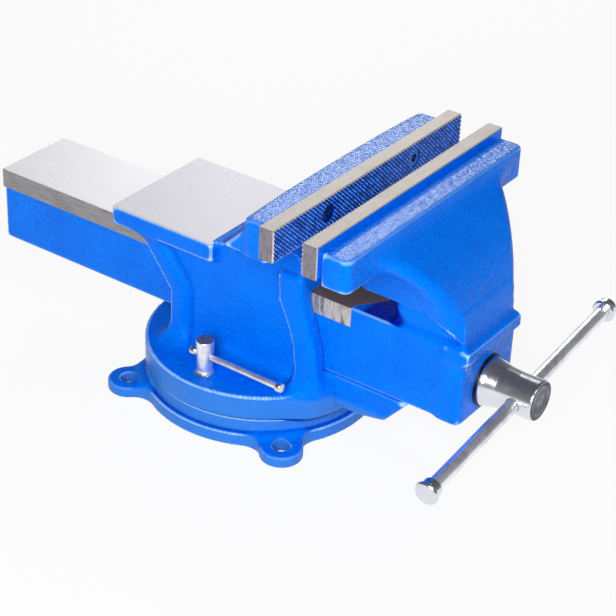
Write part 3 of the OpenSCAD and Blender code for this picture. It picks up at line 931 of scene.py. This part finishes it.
def knurled_front(columns, rows, edge):
    """Rows of small pyramids on a plate's front at y = 0, and the loop of vertices around them."""
    xs = np.linspace(-jaw_half + edge, jaw_half - edge, columns + 1)
    zs = np.linspace(plate_bottom + edge, jaw_top - edge, rows + 1)
    vertices = [(x, 0 if (i + j) % 2 else knurl_depth, z) for i, x in enumerate(xs) for j, z in enumerate(zs)]
    number = np.arange(len(vertices)).reshape(columns + 1, rows + 1)
    faces = []
    for i in range(columns):
        for j in range(rows):
            a, b, c, d = number[i, j], number[i + 1, j], number[i + 1, j + 1], number[i, j + 1]
            if (i + j) % 2:
                faces += [(a, b, d), (b, c, d)]
            else:
                faces += [(a, b, c), (a, c, d)]
    loop = [*number[:-1, 0], *number[-1, :-1], *number[:0:-1, -1], *number[0, :0:-1]]
    return vertices, faces, loop


def knurled_plate():
    """Plate with its knurled front at y = 0 and its back at +y, and the number of its knurled faces."""
    edge = 0.5
    height = jaw_top - plate_bottom
    vertices, faces, loop = knurled_front(128, 14, edge)
    front_count = len(faces)
    inset = [vertices[index] for index in loop]
    scale_x, scale_z = jaw_half / (jaw_half - edge), height / (height - 2 * edge)
    outset = [(x * scale_x, y, plate_middle + (z - plate_middle) * scale_z) for x, y, z in inset]
    ring = loop
    for y, rim in ((knurl_depth + edge, outset), (plate_thickness - edge, outset), (plate_thickness, inset)):
        start = len(vertices)
        vertices += [(x, y, z) for x, _, z in rim]
        new = range(start, len(vertices))
        for k in range(len(loop)):
            n = (k + 1) % len(loop)
            faces.append((ring[n], ring[k], new[k], new[n]))
        ring = new
    faces.append(tuple(reversed(ring)))
    return np.array(vertices), faces, front_count


def make_plates():
    """Fixed and moving jaw plates with their counterbored screw holes."""
    vertices, faces, front_count = knurled_plate()
    steels = [knurl_steel, plate_steel, plate_paint, sawn_steel]
    past, wide, narrow, step = 2, 5.8, 3.9, 6
    bore = lathe([
        (0, -past), (wide, -past), (wide, step), (narrow, step), (narrow, plate_thickness + past),
        (0, plate_thickness + past)], 40)
    for name, face_y, sign, body in (
            ("fixed_jaw_plate", fixed_plate_low[1], 1, "swivel_body"),
            ("moving_jaw_plate", moving_plate_high[1], -1, "slide_body")):
        points = vertices * (1, sign, 1) + (0, face_y, 0)
        outward = faces if sign > 0 else [tuple(reversed(face)) for face in faces]
        plate = piece(name + "_knurled", points, outward, body, "plate_steel", steels, [name])
        for face in plate.data.polygons:
            across, along, _ = face.normal
            if face.index >= front_count:
                face.material_index = 2 if along * sign > 0.9 else 3 if abs(across) > 0.9 else 1
        for side in (-1, 1):
            place = Matrix.Translation((side * plate_screw_x, face_y, plate_middle))
            carve(plate, *placed(bore, place @ Matrix.Rotation(-sign * math.pi / 2, 4, "X")))
        plate.data.shade_flat()


# Screw, handle and locks


def thread(start, end):
    """Trapezoidal thread about Z between two heights."""
    height = np.arange(start, end, screw_pitch / 12)
    way_round = np.linspace(0, 1, 40, endpoint=False)
    turn = (height[:, None] / screw_pitch - way_round) % 1
    groove = np.clip(6 * np.abs(turn - 0.5) - 1, 0, 1)
    return ringed(screw_radius - thread_depth * groove, height, start, end)


def make_screw():
    """Lead screw: plated head with the handle's hole, plain neck, and thread."""
    length = head_start - head_end
    neck_radius = screw_radius - 0.2
    profile = rounded([
        (0, head_end), (12.7, head_end), (13, head_end + 1.2), (13, head_end + 0.42 * length),
        (13.7, head_end + 0.68 * length), (15.2, head_end + 0.88 * length), (16, head_start - 1.6),
        (16, head_start), (neck_radius, head_start), (neck_radius, neck_end), (0, neck_end)], 0.8)
    shape = placed(lathe(profile, 96), along_screw())
    head = piece("lead_screw_head", *shape, "screw_body", "bright_steel", [chrome, end_steel], ["lead_screw"])
    drill(head, along_handle(), handle_radius + bar_clearance, 30, 48)
    for face in head.data.polygons:
        at_end = face.normal.y < -0.98 and face.center.y < (head_end + 0.5) * MM
        face.material_index = int(at_end)
    crisp(head)
    shape = placed(thread(neck_end - 1, screw_high[1]), along_screw())
    piece("lead_screw_thread", *shape, "screw_body", "bright_steel", [turned_steel])


def make_handle():
    """Handle bar and its two end caps."""
    tip, inner, outer = handle_half - cap_length / 2, handle_half - cap_length, handle_half
    bar = [(0, -tip), (handle_radius, -tip), (handle_radius, tip), (0, tip)]
    left_cap = [
        (0, -outer), (6.6, -outer), (7.7, -outer + 1), (7.7, -outer + 2.6), (6.0, -outer + 3.4),
        (6.3, -inner - 0.6), (5.6, -inner), (0, -inner)]
    right_cap = [
        (0, inner), (7.0, inner), (7.7, inner + 0.8), (7.7, inner + 2.4), (6.4, inner + 3.4),
        (6.4, outer - 1.6), (5.0, outer), (0, outer)]
    for node, profile, edge, finish in (
            ("handle_bar", bar, 0.8, satin_plating),
            ("handle_cap_left", left_cap, 0.7, chrome),
            ("handle_cap_right", right_cap, 0.7, chrome)):
        shape = placed(lathe(rounded(profile, edge), 64), along_handle())
        crisp(piece(node + "_plated", *shape, "handle_body", "bright_steel", [finish], [node]))


def make_lock_screw(word, upright, axis):
    """Lock screw with a tapered head, drilled for its bar, and the washer under it."""
    low, high = node_box(f"lock_screw_{word}")
    washer_bottom, washer_top = (corner[2] for corner in node_box(f"lock_washer_{word}"))
    bottom, top, foot = low[2], high[2], washer_top + 0.08
    profile = rounded([
        (0, bottom), (4.2, bottom), (4.5, bottom + 0.5), (4.5, foot), (5.8, foot), (5.2, foot + 1.6),
        (5.3, foot + 7), (5.9, top - 0.5), (5.5, top), (0, top)], 0.4)
    shape = placed(lathe(profile, 56), upright)
    finishes = [satin_plating, turned_steel]
    screw = piece(f"lock_screw_{word}_plated", *shape, f"lock_{word}_body", "bright_steel", finishes,
                  [f"lock_screw_{word}"])
    drill(screw, axis, lock_bar_radius + bar_clearance, 9, 32)
    for face in screw.data.polygons:
        face.material_index = int(face.center.z > (top - 0.2) * MM)
    crisp(screw)
    ring = tube([
        (4.9, washer_bottom), (6.8, washer_bottom), (7, washer_bottom + 0.3), (7, washer_top - 0.4),
        (6.6, washer_top), (4.9, washer_top)], 56)
    crisp(piece(f"lock_washer_{word}_plated", *placed(ring, upright), "swivel_body", "bright_steel", [chrome],
                [f"lock_washer_{word}"]))


def make_lock_bar(word, axis, start, end):
    """Thin bar of a lock, between two y values, and the knobs on its ends."""
    body = f"lock_bar_{word}_body"
    profile = rounded([(0, start), (lock_bar_radius, start), (lock_bar_radius, end), (0, end)], 0.4)
    shape = placed(lathe(profile, 32), axis)
    node = f"lock_bar_{word}"
    crisp(piece(node + "_plated", *shape, body, "bright_steel", [satin_plating], [node]))
    for place in ("front", "rear"):
        node = f"lock_knob_{word}_{place}"
        inner, outer = (corner[1] for corner in node_box(node))
        if place == "front":
            inner, outer = outer, inner
        step = (outer - inner) / 5
        knob = rounded([
            (0, inner), (3.1, inner), (3.4, inner + step), (3.4, outer - step), (3.0, outer),
            (0, outer)], 0.4)
        if place == "front":
            knob = knob[::-1]
        shape = placed(lathe(knob, 40), axis)
        crisp(piece(node + "_plated", *shape, body, "bright_steel", [chrome], [node]))


def make_locks():
    """Swivel lock on each side."""
    for side, word in ((-1, "left"), (1, "right")):
        low, high = node_box(f"lock_bar_{word}")
        upright = Matrix.Translation((side * lock_reach, 0, 0))
        axis = along_lock_bar(side, (low[2] + high[2]) / 2)
        make_lock_screw(word, upright, axis)
        make_lock_bar(word, axis, low[1], high[1])


def dress_nodes():
    """Materials and soft edges of the CAD nodes that stay."""
    # The thrust washer's black stands in for the shadow ring where the screw head meets the hood: painted
    # shade
    finishes = {
        "fixed_plate_screw": blued_steel, "moving_plate_screw": blued_steel, "nut_bolt": black_steel_and_painted_shade,
        "retaining_collar": black_steel_and_painted_shade, "clamp_nut": black_steel_and_painted_shade, "screw_nut": raw_iron,
        "thrust_washer": black_steel_and_painted_shade, "collar_pin": chrome}
    for name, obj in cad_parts.items():
        for start, material in finishes.items():
            if name.startswith(start):
                obj.data.materials.clear()
                obj.data.materials.append(material)
                soften(obj, 0.3, 2)


# Studio


def make_camera():
    """Camera at the photograph's viewpoint."""
    azimuth, elevation, roll = math.radians(-55.557), math.radians(31.267), math.radians(2.525)
    target = Vector((-15.2, -45.7, 80.4)) * MM
    distance_back, focal_pixels, image_width = 1175.8 * MM, 1871.2, 616
    reach = math.cos(elevation)
    back = Vector((math.sin(azimuth) * reach, -math.cos(azimuth) * reach, math.sin(elevation)))
    level = Vector((math.cos(azimuth), math.sin(azimuth), 0))
    upright = back.cross(level)
    right = level * math.cos(roll) + upright * math.sin(roll)
    up = upright * math.cos(roll) - level * math.sin(roll)
    data = bpy.data.cameras.new("camera")
    data.sensor_width = 36
    data.lens = focal_pixels / image_width * data.sensor_width
    data.clip_end = 50
    camera = bpy.data.objects.new("camera", data)
    bpy.context.scene.collection.objects.link(camera)
    rotation = Matrix((right, up, back)).transposed()
    camera.matrix_world = Matrix.Translation(target + back * distance_back) @ rotation.to_4x4()
    bpy.context.scene.camera = camera


def add_lamp(name, place, size, power):
    """Soft round lamp that points at the vise."""
    data = bpy.data.lights.new(name, "AREA")
    data.shape = "DISK"
    data.size = size
    data.energy = power
    lamp = bpy.data.objects.new(name, data)
    lamp.location = place
    lamp.rotation_mode = "QUATERNION"
    lamp.rotation_quaternion = (Vector(place) - Vector((0, -0.03, 0.08))).to_track_quat("Z", "Y")
    bpy.context.scene.collection.objects.link(lamp)


def seen_by_eye(tree):
    """1 for rays that show the background itself or its reflection."""
    path = add(tree, "ShaderNodeLightPath").outputs
    seen = calculate(tree, "MAXIMUM", path["Is Camera Ray"], path["Is Glossy Ray"])
    return calculate(tree, "MAXIMUM", seen, path["Is Transmission Ray"])


def make_floor():
    """Pale floor that looks nearly white and keeps the vise's shadow."""
    mesh = bpy.data.meshes.new("floor")
    reach = 6
    corners = [(-reach, -reach, 0), (reach, -reach, 0), (reach, reach, 0), (-reach, reach, 0)]
    mesh.from_pydata(corners, [], [(0, 1, 2, 3)])
    floor = bpy.data.objects.new("floor", mesh)
    floor.location.z = -0.0005
    bpy.context.scene.collection.objects.link(floor)
    material, tree, shader = new_material("pale_floor")
    shader.inputs["Base Color"].default_value = (0.86, 0.86, 0.87, 1)
    shader.inputs["Roughness"].default_value = 0.9
    shader.inputs["Specular IOR Level"].default_value = 0.1
    glow = add(tree, "ShaderNodeEmission", Color=(1, 1, 1, 1), Strength=1.0)
    white_share = calculate(tree, "MULTIPLY", seen_by_eye(tree), 0.9)
    mixed = add(tree, "ShaderNodeMixShader", in0=white_share, in1=shader.outputs[0], in2=glow.outputs[0])
    tree.links.new(mixed.outputs[0], tree.nodes["Material Output"].inputs["Surface"])
    mesh.materials.append(material)


def make_lights():
    """Grey surroundings that darken overhead, and soft lamps."""
    world = bpy.data.worlds.new("studio")
    bpy.context.scene.world = world
    world.use_nodes = True
    tree = world.node_tree
    direction = add(tree, "ShaderNodeTexCoord").outputs["Generated"]
    dome = ramp(tree, height_of(tree, direction), (0.05, (0.28, 0.29, 0.3)), (0.3, (0.18, 0.18, 0.19)),
                (0.8, (0.1, 0.1, 0.11)))
    tree.links.new(dome, tree.nodes["Background"].inputs["Color"])
    add_lamp("key_lamp", (-1.15, -0.6, 0.8), 0.7, 20)
    add_lamp("front_lamp", (-0.3, -1.0, 1.3), 0.5, 3)
    add_lamp("back_lamp", (1.05, 0.75, 0.9), 1.1, 1.2)
    add_lamp("glint_lamp", (1.06, 0.65, 0.93), 0.4, 4.5)
    bpy.context.scene.view_settings.view_transform = "Standard"


make_camera()
make_castings()
make_anvil_top()
make_beam_faces()
make_plates()
make_screw()
make_handle()
make_locks()
dress_nodes()
make_floor()
make_lights()
